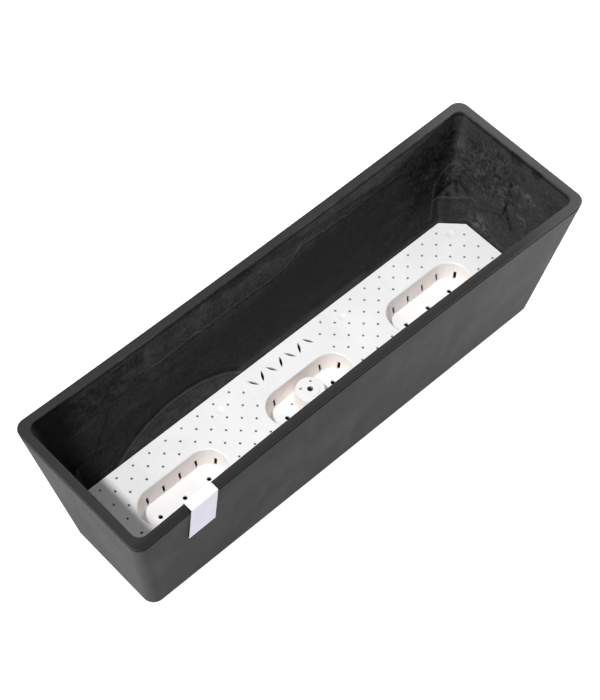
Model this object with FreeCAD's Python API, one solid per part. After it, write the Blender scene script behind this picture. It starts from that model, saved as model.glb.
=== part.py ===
"""Self watering balcony planter.

A tapered cast trough holds a white perforated false floor on eight legs. The water
stands under the false floor, and three slotted wells let soil down into it. A tower in
the middle well is the overflow: its foot is sealed to the trough floor around a drain
hole, which a rubber plug closes, and a turning dial caps it.

Frame: origin at the bottom centre, +X along the length, +Y to the rear, +Z up, mm.
"""

import FreeCAD, Part
import math
import os

V = FreeCAD.Vector
UP = V(0, 0, 1)

# Trough, outside
HEIGHT = 176.0
RIM_LENGTH = 552.0
RIM_WIDTH = 171.0
BASE_LENGTH = 501.0
BASE_WIDTH = 115.0
OUTER_CORNER_R = 12.0
BASE_EDGE_R = 2.5
RIM_EDGE_R = 1.0
RIM_GROOVE_TOP = 1.8        # depth of the groove's top edge below the rim
RIM_GROOVE_HEIGHT = 2.0
RIM_GROOVE_DEPTH = 1.2

# Trough, inside
RIM_WALL = 9.6
INNER_CORNER_R = 8.0
FLOOR_BOTTOM = 3.0          # the base stands on a foot frame this high
FLOOR_TOP = 9.0
FLOOR_EDGE_R = 6.0
FOOT_FRAME = 14.0           # width of the foot frame
POST_HEIGHT = 39.0          # corner posts above the false floor
POST_LEAN = 5.8             # growth of the post face's |x| + |y| over that height
DRAIN_R = 8.0

# False floor
PLATE_TOP = 42.0
SHEET = 2.0
PLATE_LENGTH = 501.0
PLATE_WIDTH = 116.0
PLATE_CHAMFER = 20.0
PLATE_GAP = 0.8             # from the plate's edge to the trough wall
RIB_INSET = 5.0             # stiffening rib below the plate's edge
RIB_DEPTH = 8.0

# Perforation: holes on the odd sites of a square grid
GRID = 10.0
GRID_COLUMNS = 24
GRID_ROWS = 5
HOLE_R = 1.25
HOLE_MARGIN = 12.0          # least distance from a hole to the chamfer, along x + y
WELL_MARGIN = 4.0           # least distance from a hole to a well

# Ornament: a row of small leaves cut through the plate behind the middle well
MOTIF_COLUMNS = 4           # grid columns kept clear for it, each side of the middle
MOTIF_ROW = 3               # first grid row kept clear
MOTIF_Y = 42.0
LEAF_COUNT = 7
LEAF_PITCH = 12.0
LEAF_LENGTH = 13.0
LEAF_WIDTH = 2.6
LEAF_LEANS = (120.0, 60.0)  # degrees from +X, turn about

# Wells
WELL_X = (-160.0, 0.0, 160.0)
WELL_STRAIGHT = 57.0
WELL_TOP_R = 21.5
WELL_FLOOR_R = 17.0
WELL_DEPTH = 20.5
WELL_FLOOR = PLATE_TOP - WELL_DEPTH
WELL_RIM_R = 1.8            # rounded edge where the well meets the plate
WELL_FOOT_R = 1.2
SLOT_WIDTH = 3.0
SLOT_HEIGHT = 10.0
SLOT_REACH = 14.0           # length of the slot's cutter, well past both faces of the wall
SLOT_PITCH = 20.0
END_SLOT_ANGLE = 25.0
FLOOR_HOLE_R = 2.3
FLOOR_HOLE_PITCH = 30.0

# Legs
LEG_X = (-230.0, -80.0, 80.0, 230.0)
LEG_Y = 40.0
LEG_TOP_R = 5.0
LEG_FOOT_R = 4.0
LEG_GAP = 0.1
DIMPLE_R = 4.4
DIMPLE_DEPTH = 0.8

# Tower
TOWER_TOP = 39.2
TOWER_TOP_R = 14.8
TOWER_FOOT_R = 16.5
TOWER_WALL = 2.0
TOWER_CAP = 2.2
TOWER_FLARE = 1.5           # small flare where the tower meets the well floor
WEEP_R = 1.2                # small holes round the foot of the tower
WEEP_PITCH_R = 18.3
WEEP_ANGLE = 27.0

# Dial
DIAL_R = 14.4
DIAL_TOP = 41.2
DIAL_EDGE_R = 0.7
BOSS_R = 9.2
BOSS_TOP = 42.0
HUB_R = 6.5
HUB_BORE_R = 3.0
HUB_FOOT = 34.2
HUB_ROOM_R = 4.8            # wider room in the hub below the bore
HUB_ROOM_TOP = 40.4
SNAP_R = 7.1
SNAP_LEAD = 1.6             # height of the snap ring's lead-in cone
SNAP_LEAD_R = 6.3
FACE_GAP = 0.05             # between faces that rest on each other
RUNNING_GAP = 0.06          # radial, shaft in hole
PORT_R = 1.5
PORT_PITCH_R = 8.9
PORT_ANGLES = (45.0, 135.0)

# Seal and plug
SEAL_OUTER_R = 18.3
SEAL_INNER_R = 12.7
SEAL_GAP = 0.1
SEAL_HEIGHT = 4.0
SEAL_GROOVE = 2.0
SEAL_SQUEEZE = 0.05         # radial interference of the tower foot in the groove
PLUG_FLANGE_R = 11.0
PLUG_FLANGE = 2.5
PLUG_FIT = 0.05             # radial clearance in the drain hole
PLUG_FLANGE_EDGE_R = 0.8
PLUG_TIP_R = 7.4
PLUG_TIP_Z = 3.6
PLUG_TIP_EDGE_R = 0.6
TAB_WIDTH = 12.0
TAB_THICKNESS = 2.8
TAB_HEIGHT = 8.0
TAB_HOLE_R = 2.0
TAB_HOLE_UP = 0.8           # hole's centre above the tab's straight part

# Label
LABEL_X = -199.6
LABEL_WIDTH = 30.5
LABEL_LEG = 61.0            # length of each hanging leg
LABEL_THICKNESS = 0.8
LABEL_GAP = 0.1

# Cutters run past the faces that they cut, and pieces of one solid overlap, by these
PAST = 1.0
LAP = 0.5


def outer_half(z):
    """Half length and half width of the trough's outside at height z."""
    t = z / HEIGHT
    length = BASE_LENGTH + (RIM_LENGTH - BASE_LENGTH) * t
    width = BASE_WIDTH + (RIM_WIDTH - BASE_WIDTH) * t
    return length / 2, width / 2


def inner_half(z):
    """Half length and half width of the trough's inside at height z."""
    t = (z - PLATE_TOP) / (HEIGHT - PLATE_TOP)
    x0 = PLATE_LENGTH / 2 + PLATE_GAP
    y0 = PLATE_WIDTH / 2 + PLATE_GAP
    return x0 + (RIM_LENGTH / 2 - RIM_WALL - x0) * t, y0 + (RIM_WIDTH / 2 - RIM_WALL - y0) * t


def post_reach(z):
    """Value of |x| + |y| on the corner posts' faces at height z."""
    return plate_reach() + PLATE_GAP + POST_LEAN * (z - PLATE_TOP) / POST_HEIGHT


def plate_reach():
    """Value of |x| + |y| on the false floor's cut corners."""
    return (PLATE_LENGTH + PLATE_WIDTH) / 2 - PLATE_CHAMFER


def polygon_face(points):
    return Part.Face(Part.makePolygon(points + points[:1]))


def flat_sided_solid(bottom, top):
    """Closed solid between two polygons with the same number of points, all faces flat."""
    turn = (bottom[1] - bottom[0]).cross(bottom[2] - bottom[1]).z
    if turn < 0:
        bottom, top = bottom[::-1], top[::-1]
    faces = [polygon_face(bottom[::-1]), polygon_face(top)]
    for i in range(len(bottom)):
        j = (i + 1) % len(bottom)
        faces.append(polygon_face([bottom[i], bottom[j], top[j], top[i]]))
    shell = Part.makeShell(faces)
    shell.sewShape()
    return Part.makeSolid(shell)


def frustum(half, low, high):
    """Rectangular frustum whose half sizes at a height are half(z)."""
    outlines = []
    for z in (low, high):
        hx, hy = half(z)
        outlines.append([V(-hx, -hy, z), V(hx, -hy, z), V(hx, hy, z), V(-hx, hy, z)])
    return flat_sided_solid(*outlines)


def slanted_edges(solid):
    """The four edges that run up the corners of a frustum."""
    height = solid.BoundBox.ZLength
    return [e for e in solid.Edges if e.BoundBox.ZLength > height / 2]


def edges_at(solid, z, keep=lambda edge: True):
    """Edges that lie in the horizontal plane at z."""
    return [e for e in solid.Edges
            if abs(e.BoundBox.ZMin - z) < 1e-4 and abs(e.BoundBox.ZMax - z) < 1e-4 and keep(e)]


def rounded_frustum(half, low, high, corner_r):
    solid = frustum(half, low, high)
    return solid.makeFillet(corner_r, slanted_edges(solid))


def cylinder(radius, low, high, x=0.0, y=0.0):
    return Part.makeCylinder(radius, high - low, V(x, y, low), UP)


def cone(low_r, high_r, low, high, x=0.0, y=0.0):
    return Part.makeCone(low_r, high_r, high - low, V(x, y, low), UP)


def tube(inner_r, outer_r, low, high):
    return cylinder(outer_r, low, high).cut(cylinder(inner_r, low, high))


def export(name, solid):
    solid = solid.removeSplitter()
    if not solid.isValid() or len(solid.Solids) != 1:
        raise RuntimeError("%s: valid %s, solids %d" % (name, solid.isValid(), len(solid.Solids)))
    solid.Solids[0].exportStep("parts/%s.step" % name)
    box = solid.BoundBox
    print("%-18s %8.1f cm3  z %.1f to %.1f" % (name, solid.Volume / 1000, box.ZMin, box.ZMax))


def corner_post(sign_x, sign_y):
    """Everything beyond one post's face, up to the post's top."""
    top = PLATE_TOP + POST_HEIGHT
    hx, hy = outer_half(HEIGHT)
    outlines = []
    for z in (FLOOR_BOTTOM, top):
        c = post_reach(z)
        outlines.append([V(sign_x * hx, sign_y * (c - hx), z), V(sign_x * hx, sign_y * hy, z),
                         V(sign_x * (c - hy), sign_y * hy, z)])
    return flat_sided_solid(*outlines)


def rim_groove():
    """Fine shadow groove round the outside, just under the rim."""
    high = HEIGHT - RIM_GROOVE_TOP
    low = high - RIM_GROOVE_HEIGHT

    def inset(z):
        hx, hy = outer_half(z)
        return hx - RIM_GROOVE_DEPTH, hy - RIM_GROOVE_DEPTH

    def outset(z):
        hx, hy = outer_half(z)
        return hx + PAST, hy + PAST

    core = rounded_slice(inset, low, high, OUTER_CORNER_R - RIM_GROOVE_DEPTH)
    return frustum(outset, low, high).cut(core)


def rounded_slice(half, low, high, corner_r):
    """A slice of a taller rounded frustum, whose corner edges are long enough to round."""
    tall = rounded_frustum(half, low - corner_r, high + corner_r, corner_r)
    slab = Part.makeBox(2 * RIM_LENGTH, 2 * RIM_WIDTH, high - low, V(-RIM_LENGTH, -RIM_WIDTH, low))
    return tall.common(slab)


def make_trough():
    body = rounded_frustum(outer_half, 0, HEIGHT, OUTER_CORNER_R)
    body = body.makeFillet(BASE_EDGE_R, edges_at(body, 0))
    cavity = rounded_frustum(inner_half, FLOOR_TOP, HEIGHT, INNER_CORNER_R)
    cavity = cavity.makeFillet(FLOOR_EDGE_R, edges_at(cavity, FLOOR_TOP))
    for sign_x in (-1, 1):
        for sign_y in (-1, 1):
            cavity = cavity.cut(corner_post(sign_x, sign_y))
    body = body.cut(cavity)
    body = body.makeFillet(RIM_EDGE_R, edges_at(body, HEIGHT))

    def pocket_half(z):
        return BASE_LENGTH / 2 - FOOT_FRAME, BASE_WIDTH / 2 - FOOT_FRAME

    pocket = rounded_slice(pocket_half, -PAST, FLOOR_BOTTOM, INNER_CORNER_R)
    drain = cylinder(DRAIN_R, 0, FLOOR_TOP + PAST)
    return body.cut([pocket, rim_groove(), drain])


def stadium(center_x, low_r, high_r, low, high):
    """Tapered stadium-ended solid along X."""
    half = WELL_STRAIGHT / 2
    ends = [cone(low_r, high_r, low, high, center_x + s * half) for s in (-1, 1)]
    section = polygon_face([V(center_x - half, -low_r, low), V(center_x - half, low_r, low),
                            V(center_x - half, high_r, high), V(center_x - half, -high_r, high)])
    middle = section.extrude(V(WELL_STRAIGHT, 0, 0))
    return ends[0].fuse([middle, ends[1]]).removeSplitter()


def well_radius(z):
    """Radius of a well's round ends, inside, at height z."""
    return WELL_TOP_R + (WELL_FLOOR_R - WELL_TOP_R) * (PLATE_TOP - z) / WELL_DEPTH


def well_outside(center_x):
    bottom = WELL_FLOOR - SHEET
    return stadium(center_x, well_radius(bottom) + SHEET, WELL_TOP_R + SHEET, bottom, PLATE_TOP)


def well_inside(center_x):
    solid = stadium(center_x, WELL_FLOOR_R, WELL_TOP_R, WELL_FLOOR, PLATE_TOP)
    return solid.makeFillet(WELL_FOOT_R, edges_at(solid, WELL_FLOOR))


def slot(x, y, angle):
    """Upright slot through a well's wall, at its foot, square to the given direction."""
    corner = V(-SLOT_REACH / 2, -SLOT_WIDTH / 2, 0)
    box = Part.makeBox(SLOT_REACH, SLOT_WIDTH, SLOT_HEIGHT, corner)
    box.rotate(V(0, 0, 0), UP, angle)
    box.translate(V(x, y, WELL_FLOOR))
    return box


def well_slots(center_x, middle_well):
    """Cutters for one well; the middle one has none beside the tower."""
    radius = well_radius(PLATE_TOP - WELL_DEPTH / 2) + SHEET / 2
    offsets = (-1.5, 1.5) if middle_well else (-1.5, -0.5, 0.5, 1.5)
    slots = []
    for side in (-1, 1):
        for offset in offsets:
            slots.append(slot(center_x + offset * SLOT_PITCH, side * radius, 90))
        for end in (-1, 1):
            angle = math.radians(END_SLOT_ANGLE)
            x = center_x + end * (WELL_STRAIGHT / 2 + radius * math.cos(angle))
            slots.append(slot(x, side * radius * math.sin(angle), end * side * END_SLOT_ANGLE))
    return slots


def distance_to_well(x, y):
    """Distance from a point of the plate to the nearest well's edge, negative inside."""
    gaps = []
    for center_x in WELL_X:
        beyond = max(abs(x - center_x) - WELL_STRAIGHT / 2, 0.0)
        gaps.append(math.hypot(beyond, y) - WELL_TOP_R)
    return min(gaps)


def is_leg_site(x, y):
    return abs(y) == LEG_Y and x in LEG_X


def perforation_sites():
    """Centres of the plate's small holes."""
    sites = []
    for row in range(-GRID_ROWS, GRID_ROWS + 1):
        for column in range(-GRID_COLUMNS, GRID_COLUMNS + 1):
            x, y = column * GRID, row * GRID
            if (row + column) % 2 == 0 or is_leg_site(x, y):
                continue
            if abs(x) + abs(y) > plate_reach() - HOLE_MARGIN:
                continue
            if distance_to_well(x, y) < WELL_MARGIN:
                continue
            if row >= MOTIF_ROW and abs(column) <= MOTIF_COLUMNS:
                continue
            sites.append((x, y))
    return sites


def leaf(x, y, length, width, angle):
    """Cutter in the shape of a pointed leaf, from two arcs."""
    half = length / 2
    tip_a, tip_b = V(-half, 0, 0), V(half, 0, 0)
    upper = Part.Arc(tip_a, V(0, width / 2, 0), tip_b).toShape()
    lower = Part.Arc(tip_b, V(0, -width / 2, 0), tip_a).toShape()
    solid = Part.Face(Part.Wire([upper, lower])).extrude(V(0, 0, 2 * SHEET))
    solid.rotate(V(0, 0, 0), UP, angle)
    solid.translate(V(x, y, PLATE_TOP - 1.5 * SHEET))
    return solid


def motif():
    """Ornament cut through the plate: a row of small leaves that lean left and right."""
    cutters = []
    for index in range(LEAF_COUNT):
        x = (index - (LEAF_COUNT - 1) / 2) * LEAF_PITCH
        cutters.append(leaf(x, MOTIF_Y, LEAF_LENGTH, LEAF_WIDTH, LEAF_LEANS[index % 2]))
    return cutters


def octagon(inset, low, high):
    """Plate outline with cut corners, inset evenly, as a prism."""
    hx = PLATE_LENGTH / 2 - inset
    hy = PLATE_WIDTH / 2 - inset
    c = plate_reach() - inset * math.sqrt(2)
    points = []
    for sign_x, sign_y in ((1, 1), (-1, 1), (-1, -1), (1, -1)):
        on_end = V(sign_x * hx, sign_y * (c - hx), low)
        on_side = V(sign_x * (c - hy), sign_y * hy, low)
        points += [on_end, on_side] if sign_x == sign_y else [on_side, on_end]
    return polygon_face(points).extrude(V(0, 0, high - low))


def leg(x, y):
    return cone(LEG_FOOT_R, LEG_TOP_R, FLOOR_TOP + LEG_GAP, PLATE_TOP - SHEET / 2, x, y)


def dimple(x, y):
    """Ball that cuts a shallow dish of the stated radius and depth into the plate."""
    ball_r = (DIMPLE_R ** 2 + DIMPLE_DEPTH ** 2) / (2 * DIMPLE_DEPTH)
    return Part.makeSphere(ball_r, V(x, y, PLATE_TOP + ball_r - DIMPLE_DEPTH))


def tower_shell():
    """Tower above the well floor and its skirt below it, still without bore or ports."""
    upper = cone(TOWER_FOOT_R, TOWER_TOP_R, WELL_FLOOR, TOWER_TOP)
    taper = (TOWER_TOP_R - TOWER_FOOT_R) / (TOWER_TOP - WELL_FLOOR)
    flare_high_r = TOWER_FOOT_R + taper * TOWER_FLARE
    flare_high = WELL_FLOOR + TOWER_FLARE
    flare = cone(TOWER_FOOT_R + TOWER_FLARE, flare_high_r, WELL_FLOOR, flare_high)
    skirt_low = FLOOR_TOP + SEAL_GAP + SEAL_HEIGHT - SEAL_GROOVE
    skirt = cylinder(TOWER_FOOT_R, skirt_low, WELL_FLOOR)
    return upper.fuse([flare, skirt])


def tower_hollow():
    """Space inside the tower, open at the foot and closed by the cap."""
    foot_r = TOWER_FOOT_R - TOWER_WALL
    top_r = TOWER_TOP_R - TOWER_WALL
    lower = cylinder(foot_r, FLOOR_TOP, WELL_FLOOR)
    return lower.fuse(cone(foot_r, top_r, WELL_FLOOR, TOWER_TOP - TOWER_CAP))


def bores(radius, pitch_r, angles, low, high):
    """Cylinders on a circle round the tower's axis."""
    cutters = []
    for angle in angles:
        a = math.radians(angle)
        cutters.append(cylinder(radius, low, high, pitch_r * math.cos(a), pitch_r * math.sin(a)))
    return cutters


def insert_holes():
    """Every hole through the plate, the wells and the tower's cap."""
    low, high = PLATE_TOP - SHEET - PAST, PLATE_TOP + PAST
    cutters = [cylinder(HOLE_R, low, high, x, y) for x, y in perforation_sites()]
    low, high = WELL_FLOOR - SHEET - PAST, WELL_FLOOR + PAST
    for center_x in WELL_X:
        middle_well = center_x == 0.0
        cutters += well_slots(center_x, middle_well)
        for step in (-1, 0, 1):
            if step != 0 or not middle_well:
                x = center_x + step * FLOOR_HOLE_PITCH
                cutters.append(cylinder(FLOOR_HOLE_R, low, high, x))
    quadrants = (WEEP_ANGLE, 180 - WEEP_ANGLE, 180 + WEEP_ANGLE, -WEEP_ANGLE)
    cutters += bores(WEEP_R, WEEP_PITCH_R, quadrants, low, high + TOWER_FLARE)
    low, high = TOWER_TOP - TOWER_CAP - PAST, TOWER_TOP + PAST
    cutters.append(cylinder(HUB_R + RUNNING_GAP, low, high))
    return cutters + bores(PORT_R, PORT_PITCH_R, PORT_ANGLES, low, high)


def make_insert():
    plate = octagon(0, PLATE_TOP - SHEET, PLATE_TOP)
    rib = octagon(RIB_INSET, PLATE_TOP - RIB_DEPTH, PLATE_TOP - SHEET / 2)
    rib = rib.cut(octagon(RIB_INSET + SHEET, PLATE_TOP - RIB_DEPTH, PLATE_TOP))
    body = plate.fuse([rib] + [well_outside(x) for x in WELL_X]).removeSplitter()
    for x in WELL_X:
        body = body.cut(well_inside(x))

    def is_well_rim(edge):
        return all(abs(p.y) < WELL_TOP_R + PAST for p in edge.discretize(5))

    body = body.makeFillet(WELL_RIM_R, edges_at(body, PLATE_TOP, is_well_rim))
    leg_sites = [(x, side * LEG_Y) for x in LEG_X for side in (-1, 1)]
    legs = [leg(x, y) for x, y in leg_sites]
    body = body.fuse([tower_shell()] + legs).cut(tower_hollow())
    dimples = [dimple(x, y) for x, y in leg_sites]
    return body.cut(dimples + insert_holes() + motif())


def make_dial():
    """Disc with a raised boss and a hollow hub that snaps into the tower's cap."""
    base = TOWER_TOP + FACE_GAP
    disc = cylinder(DIAL_R, base, DIAL_TOP)
    disc = disc.makeFillet(DIAL_EDGE_R, edges_at(disc, DIAL_TOP))
    boss = cylinder(BOSS_R, DIAL_TOP - LAP, BOSS_TOP)
    hub = cylinder(HUB_R, HUB_FOOT, base + LAP)
    lead_top = HUB_FOOT + SNAP_LEAD
    lead = cone(SNAP_LEAD_R, SNAP_R, HUB_FOOT, lead_top)
    snap = cylinder(SNAP_R, lead_top, TOWER_TOP - TOWER_CAP - RUNNING_GAP)
    dial = disc.fuse([boss, hub, lead, snap])
    cutters = bores(PORT_R, PORT_PITCH_R, PORT_ANGLES, base - PAST, BOSS_TOP + PAST)
    cutters.append(cylinder(HUB_BORE_R, HUB_ROOM_TOP - PAST, BOSS_TOP + PAST))
    cutters.append(cylinder(HUB_ROOM_R, HUB_FOOT - PAST, HUB_ROOM_TOP))
    return dial.cut(cutters)


def make_seal():
    """Rubber ring that grips the tower's foot in a groove."""
    low = FLOOR_TOP + SEAL_GAP
    high = low + SEAL_HEIGHT
    groove_inner_r = TOWER_FOOT_R - TOWER_WALL + SEAL_SQUEEZE
    groove_outer_r = TOWER_FOOT_R - SEAL_SQUEEZE
    groove = tube(groove_inner_r, groove_outer_r, high - SEAL_GROOVE, high + PAST)
    return tube(SEAL_INNER_R, SEAL_OUTER_R, low, high).cut(groove)


def make_plug():
    """Tapered rubber plug with a flange and an upright pull tab that has an eye."""
    flange_low = FLOOR_TOP + FACE_GAP
    flange_high = flange_low + PLUG_FLANGE
    flange = cylinder(PLUG_FLANGE_R, flange_low, flange_high)
    flange = flange.makeFillet(PLUG_FLANGE_EDGE_R, edges_at(flange, flange_high))
    spigot = cone(PLUG_TIP_R, DRAIN_R - PLUG_FIT, PLUG_TIP_Z, flange_low)
    spigot = spigot.makeFillet(PLUG_TIP_EDGE_R, edges_at(spigot, PLUG_TIP_Z))
    root = flange_high - LAP
    tab_r = TAB_WIDTH / 2
    tab_center = flange_high + TAB_HEIGHT - tab_r
    half = TAB_THICKNESS / 2
    across = V(0, 1, 0)
    shank = Part.makeBox(TAB_WIDTH, TAB_THICKNESS, tab_center - root, V(-tab_r, -half, root))
    head = Part.makeCylinder(tab_r, TAB_THICKNESS, V(0, -half, tab_center), across)
    eye_foot = V(0, -half - PAST, tab_center + TAB_HOLE_UP)
    eye = Part.makeCylinder(TAB_HOLE_R, TAB_THICKNESS + 2 * PAST, eye_foot, across)
    return flange.fuse([shank, head]).cut(eye).fuse(spigot)


def make_label():
    """Strip folded over the front rim, as one extruded outline in the YZ plane."""
    def wall_points(half, z_low, sign, offset):
        """Points low and high on a front wall, moved off the wall by offset."""
        low_y, high_y = -half(z_low)[1], -half(HEIGHT)[1]
        slope = math.hypot(high_y - low_y, HEIGHT - z_low)
        shift_y = sign * offset * (HEIGHT - z_low) / slope
        return V(0, low_y + shift_y, z_low), V(0, high_y + shift_y, HEIGHT)

    near, far = LABEL_GAP, LABEL_GAP + LABEL_THICKNESS
    front_lean = math.atan2((RIM_WIDTH - BASE_WIDTH) / 2, HEIGHT)
    outer_low = HEIGHT - LABEL_LEG * math.cos(front_lean)
    inner_low = HEIGHT - LABEL_LEG
    o1, o2 = wall_points(outer_half, outer_low, -1, far)
    o3, o4 = wall_points(outer_half, outer_low, -1, near)
    i1, i2 = wall_points(inner_half, inner_low, 1, far)
    i3, i4 = wall_points(inner_half, inner_low, 1, near)
    top_far, top_near = V(0, 0, far), V(0, 0, near)
    outline = [o1, o2 + top_far, i2 + top_far, i1, i3, i4 + top_near, o4 + top_near, o3]
    strip = polygon_face(outline).extrude(V(LABEL_WIDTH, 0, 0))
    strip.translate(V(LABEL_X - LABEL_WIDTH / 2, 0, 0))
    return strip


os.makedirs("parts", exist_ok=True)
export("trough", make_trough())
export("reservoir_insert", make_insert())
export("overflow_dial", make_dial())
export("tower_seal", make_seal())
export("drain_plug", make_plug())
export("rim_label", make_label())
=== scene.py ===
"""Looks of a self watering planter: a cast composite trough, its white moulded false floor with
wells and an overflow tower, and a card label folded over the front rim.

The trough is a new mesh of rings, with bowed rims, softened edges and the relief that the casting
left. The label is a new folded strip. The other pieces are the CAD nodes with new materials.
"""
import math

import bmesh
import bpy
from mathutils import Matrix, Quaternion, Vector, noise


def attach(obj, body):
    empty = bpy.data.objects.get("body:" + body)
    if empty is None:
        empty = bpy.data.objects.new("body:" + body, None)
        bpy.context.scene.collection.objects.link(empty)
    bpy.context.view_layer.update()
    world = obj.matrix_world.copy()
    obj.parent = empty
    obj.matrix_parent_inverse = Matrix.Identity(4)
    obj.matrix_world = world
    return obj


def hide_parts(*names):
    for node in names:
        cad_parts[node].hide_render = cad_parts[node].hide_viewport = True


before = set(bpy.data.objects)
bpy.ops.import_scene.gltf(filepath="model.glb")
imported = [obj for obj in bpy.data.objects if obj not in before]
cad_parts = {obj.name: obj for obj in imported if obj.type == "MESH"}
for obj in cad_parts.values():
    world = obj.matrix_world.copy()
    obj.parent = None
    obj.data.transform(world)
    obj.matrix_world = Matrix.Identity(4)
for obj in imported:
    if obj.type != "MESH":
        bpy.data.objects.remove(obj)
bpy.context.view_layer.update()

MM = 0.001

# Trough, in millimetres, as in the CAD model
RIM_Z = 176.0
RIM_HALF = (276.0, 85.5)
BASE_HALF = (250.5, 57.5)
OUTER_R = 12.0
BASE_EDGE_R = 2.5
RIM_EDGE_R = 1.0
GROOVE_TOP = 1.8
GROOVE_HEIGHT = 2.0
GROOVE_DEPTH = 1.2
RIM_WALL = 9.6
INNER_R = 8.0
PLATE_Z = 42.0
PLATE_HALF = (250.5, 58.0)
PLATE_GAP = 0.8
PLATE_CHAMFER = 20.0
POST_HEIGHT = 39.0
POST_LEAN = 5.8
FLOOR_Z = 9.0
FLOOR_EDGE_R = 6.0
RECESS_Z = 3.0
FOOT_FRAME = 14.0
DRAIN_R = 8.0

# How the cast trough differs from its plan
FRONT_BOW = 4.3             # the long rims bow inwards at mid-length
REAR_BOW = 2.3
LEDGE_RISE = 1.0            # the ledge on a corner post rises towards the corner
POST_EDGE_R = 1.6
CREASE_R = 3.0              # rounding between a post's face and the wall
RELIEF = 0.22               # height of the flow marks inside
RELIEF_AT_PLATE = 0.2       # most height of any mark beside the false floor, which it must clear
RELIEF_GROWTH = 0.5         # and how much more it may have per mm above that

# Marks of the pour on the rear wall, as (x, height above the false floor)
ARC_CENTER = (-113.0, -76.0)
ARC_R = 110.0
SEAM_ENDS = (-133.0, 160.0)  # a wavy seam runs between these x
SEAM_UP = 97.5
SEAM_STEP = 11.0            # how much higher its right part is
SEAM_STEP_ENDS = (20.0, 60.0)
SEAM_FADE = 15.0
MOTTLED_LEFT = ((-240.0, -135.0), (84.0, 126.0))    # ranges of x and height
MOTTLED_RIGHT = ((178.0, 196.0), (38.0, 116.0))     # x range of its soft left edge, and height
LEFT_PATCH_EDGE = (-139.0, -131.0)                  # pale strip that ends the left patch, in x
RIM_PATCH = ((-33.0, 130.0), (26.0, 8.5))           # centre and half size of a dark patch
RIM_STREAK = ((-10.0, 126.0), (150.0, 115.0))       # start and end of a dark streak
REAR_CRACK = ((-186.0, 81.0), (-215.0, 32.0))
BOUNCE_LIGHT_THICK = (-42.0, 130.0)                    # x ranges of the painted bounce light from the false floor, a pale strip along the wall's foot
BOUNCE_LIGHT_THIN = (130.0, 232.0)
POST_CURVE = ((252.0, 42.0), 26.0)                  # centre and radius of the line round the right post
POST_LINE = ((226.0, 42.0), (220.0, 12.0))

# Marks of the pour on the wall at the right end, as (y, height above the false floor)
RIM_BLOTS = (((-2.0, 130.0), (8.0, 9.0)), ((-28.0, 131.0), (7.0, 6.0)))
BRANCHED_CRACK = (((-4.0, 94.0), (-4.0, 59.0), 1.8), ((-4.0, 60.0), (1.0, 40.0), 1.5),
                  ((-4.0, 60.0), (-16.0, 38.0), 2.0))   # start, end and half width of each branch
SCUFFED = (((-27.0, 92.0), (10.0, 6.0)), ((-25.0, 58.0), (9.0, 8.0)), ((24.0, 14.0), (13.0, 12.0)))
SMOOTH_BLOT = ((-26.0, 80.0), (9.0, 7.0))
ROUGH_MIDDLE = ((22.0, 84.0), (42.0, 34.0))

# Points of a ring: each corner's zone reaches this far along both sides
ZONE = 26.0
ZONE_ENDS = 5
ZONE_ARC = 14
LONG_STEPS = 184
SHORT_STEPS = 46

# Label
LABEL_X = -199.6
LABEL_WIDTH = 30.5
LABEL_LEG = 60.6
LABEL_THICKNESS = 0.4
LABEL_FOLD_R = 0.7
LABEL_FLARE = 0.9           # how far the front leg's foot stands off the wall
LABEL_STAND_OFF = 0.45      # from the walls and rim to the middle of the card
LABEL_CROWN = 0.25          # how far it bulges up over the rim
LABEL_LIFT = 0.8            # how far the inner leg's foot stands off the wall

# Composite: heights above the false floor of the groove's ends, reflectances, how strongly painted shade
# darkens the groove, the strip under the rim and the inside towards the left end, and how strongly painted
# light pales the level rims
GROOVE_UP = (RIM_Z - GROOVE_TOP - GROOVE_HEIGHT - PLATE_Z, RIM_Z - GROOVE_TOP - PLATE_Z)
OUTSIDE_LEVEL = 0.015
INSIDE_LEVEL = 0.030
GROOVE_SHADE = 0.9
UNDER_RIM_SHADE = 0.55
LEFT_END_SHADOW_LEAST = 0.12
RIM_PAINTED_LIGHT = 2.6

CAMERA_PLACE = (-0.6941, -0.7491, 1.6591)
CAMERA_TARGET = (0.0016, 0.0160, 0.0900)
CAMERA_ROLL = -0.32
CAMERA_LENS = 102.3

# Lights. Each soft one has a name, a place, a target, a width, a height and a power in watts.
SOFT_LIGHTS = (("low_left", (-1.0, 0.05, 0.07), (-0.26, 0, 0.09), 0.6, 0.12, 18),
               ("front_right", (0.75, -0.35, 0.09), (0.25, -0.07, 0.09), 0.3, 0.12, 13),
               ("far_right", (1.1, -0.1, 0.29), (0.27, 0, 0.176), 0.4, 0.12, 30),
               ("upper_left", (-1.1, -0.1, 1.1), (0.2, 0, 0.08), 0.5, 0.5, 3))
SUN_ELEVATION = 66.8        # degrees; the sun stands on the left
SUN_ANGLE = 4.0
SUN_STRENGTH = 2.45
SKY_STRENGTH = 0.55
FLOOR_GLOW = 0.8


# ---------------------------------------------------------------- shape of the trough

def outer_half(z):
    """Half length and half width outside at height z."""
    t = z / RIM_Z
    return tuple(b + (r - b) * t for b, r in zip(BASE_HALF, RIM_HALF))


def inner_half(z):
    """Half length and half width inside at height z."""
    t = (z - PLATE_Z) / (RIM_Z - PLATE_Z)
    return tuple(p + PLATE_GAP + (r - RIM_WALL - p - PLATE_GAP) * t for p, r in zip(PLATE_HALF, RIM_HALF))


def post_reach(z):
    """Value of |x| + |y| on the corner posts' faces at height z."""
    return sum(PLATE_HALF) - PLATE_CHAMFER + PLATE_GAP + POST_LEAN * (z - PLATE_Z) / POST_HEIGHT


def bow(x, y, z):
    """Inward shift along Y of a wall point, most at mid-length of the rim."""
    amount = FRONT_BOW if y < 0 else REAR_BOW
    across = min(abs(y) / PLATE_HALF[1], 1.0)
    along = max(1 - (x / RIM_HALF[0]) ** 2, 0.0)
    return -math.copysign(amount * along * across * max(z / RIM_Z, 0.0) ** 2, y)


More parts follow.
